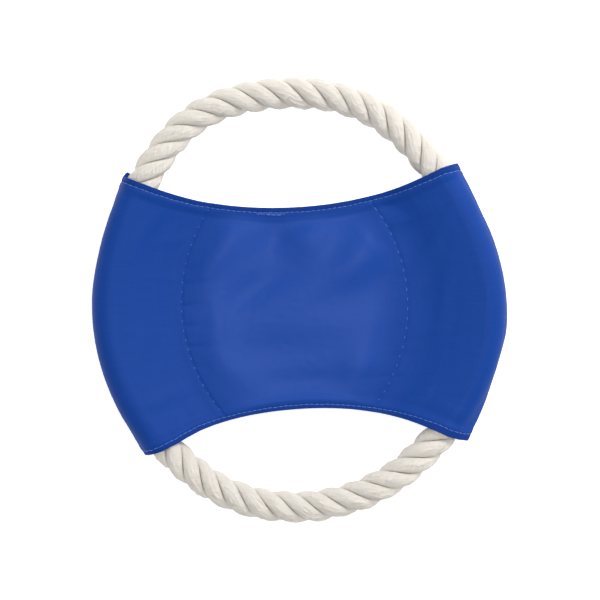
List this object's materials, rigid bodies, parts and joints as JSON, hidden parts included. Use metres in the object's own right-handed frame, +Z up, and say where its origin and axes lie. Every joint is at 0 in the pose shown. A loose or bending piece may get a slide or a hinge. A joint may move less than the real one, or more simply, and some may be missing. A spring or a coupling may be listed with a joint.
{
  "type": "flying ring",
  "caption": "Soft flying ring for throwing: a closed ring of laid rope with a cloth panel sleeved round it on two sides and open hand gaps on the other two.",
  "frame": {"origin": "under the middle of the ring's bounding box, on the surface that the ring lies on", "axes": "+Z up, out of the panel's face side; +Y across the two hems, along the ring's longer way, towards the top hand gap; +X to the right of the face side"},
  "size_m": [0.1678, 0.1787, 0.0146],
  "materials": {
    "rope": "undyed three-strand cotton rope, right-hand lay",
    "tape": "woven adhesive tape",
    "cloth": "blue tightly woven nylon, slight sheen",
    "thread": "light blue polyester sewing thread"
  },
  "bodies": {
    "cover": {"fabric_panel": "cloth", "top_hem_needle_thread": "thread", "top_hem_bobbin_thread": "thread", "bottom_hem_needle_thread": "thread", "bottom_hem_bobbin_thread": "thread", "left_seam_needle_thread": "thread", "left_seam_bobbin_thread": "thread", "right_seam_needle_thread": "thread", "right_seam_bobbin_thread": "thread"},
    "rope_ring": {"strand_1": "rope", "strand_2": "rope", "strand_3": "rope", "joint_tape": "tape"}
  },
  "joints": [
    {"name": "rope_turn_in_sleeves", "type": "hinge", "parent": "cover", "child": "rope_ring", "pos_m": [-0.0011, 0.0001, 0.00721], "axis": [0, 0, 1], "range_deg": [-4, 1]}
  ]
}
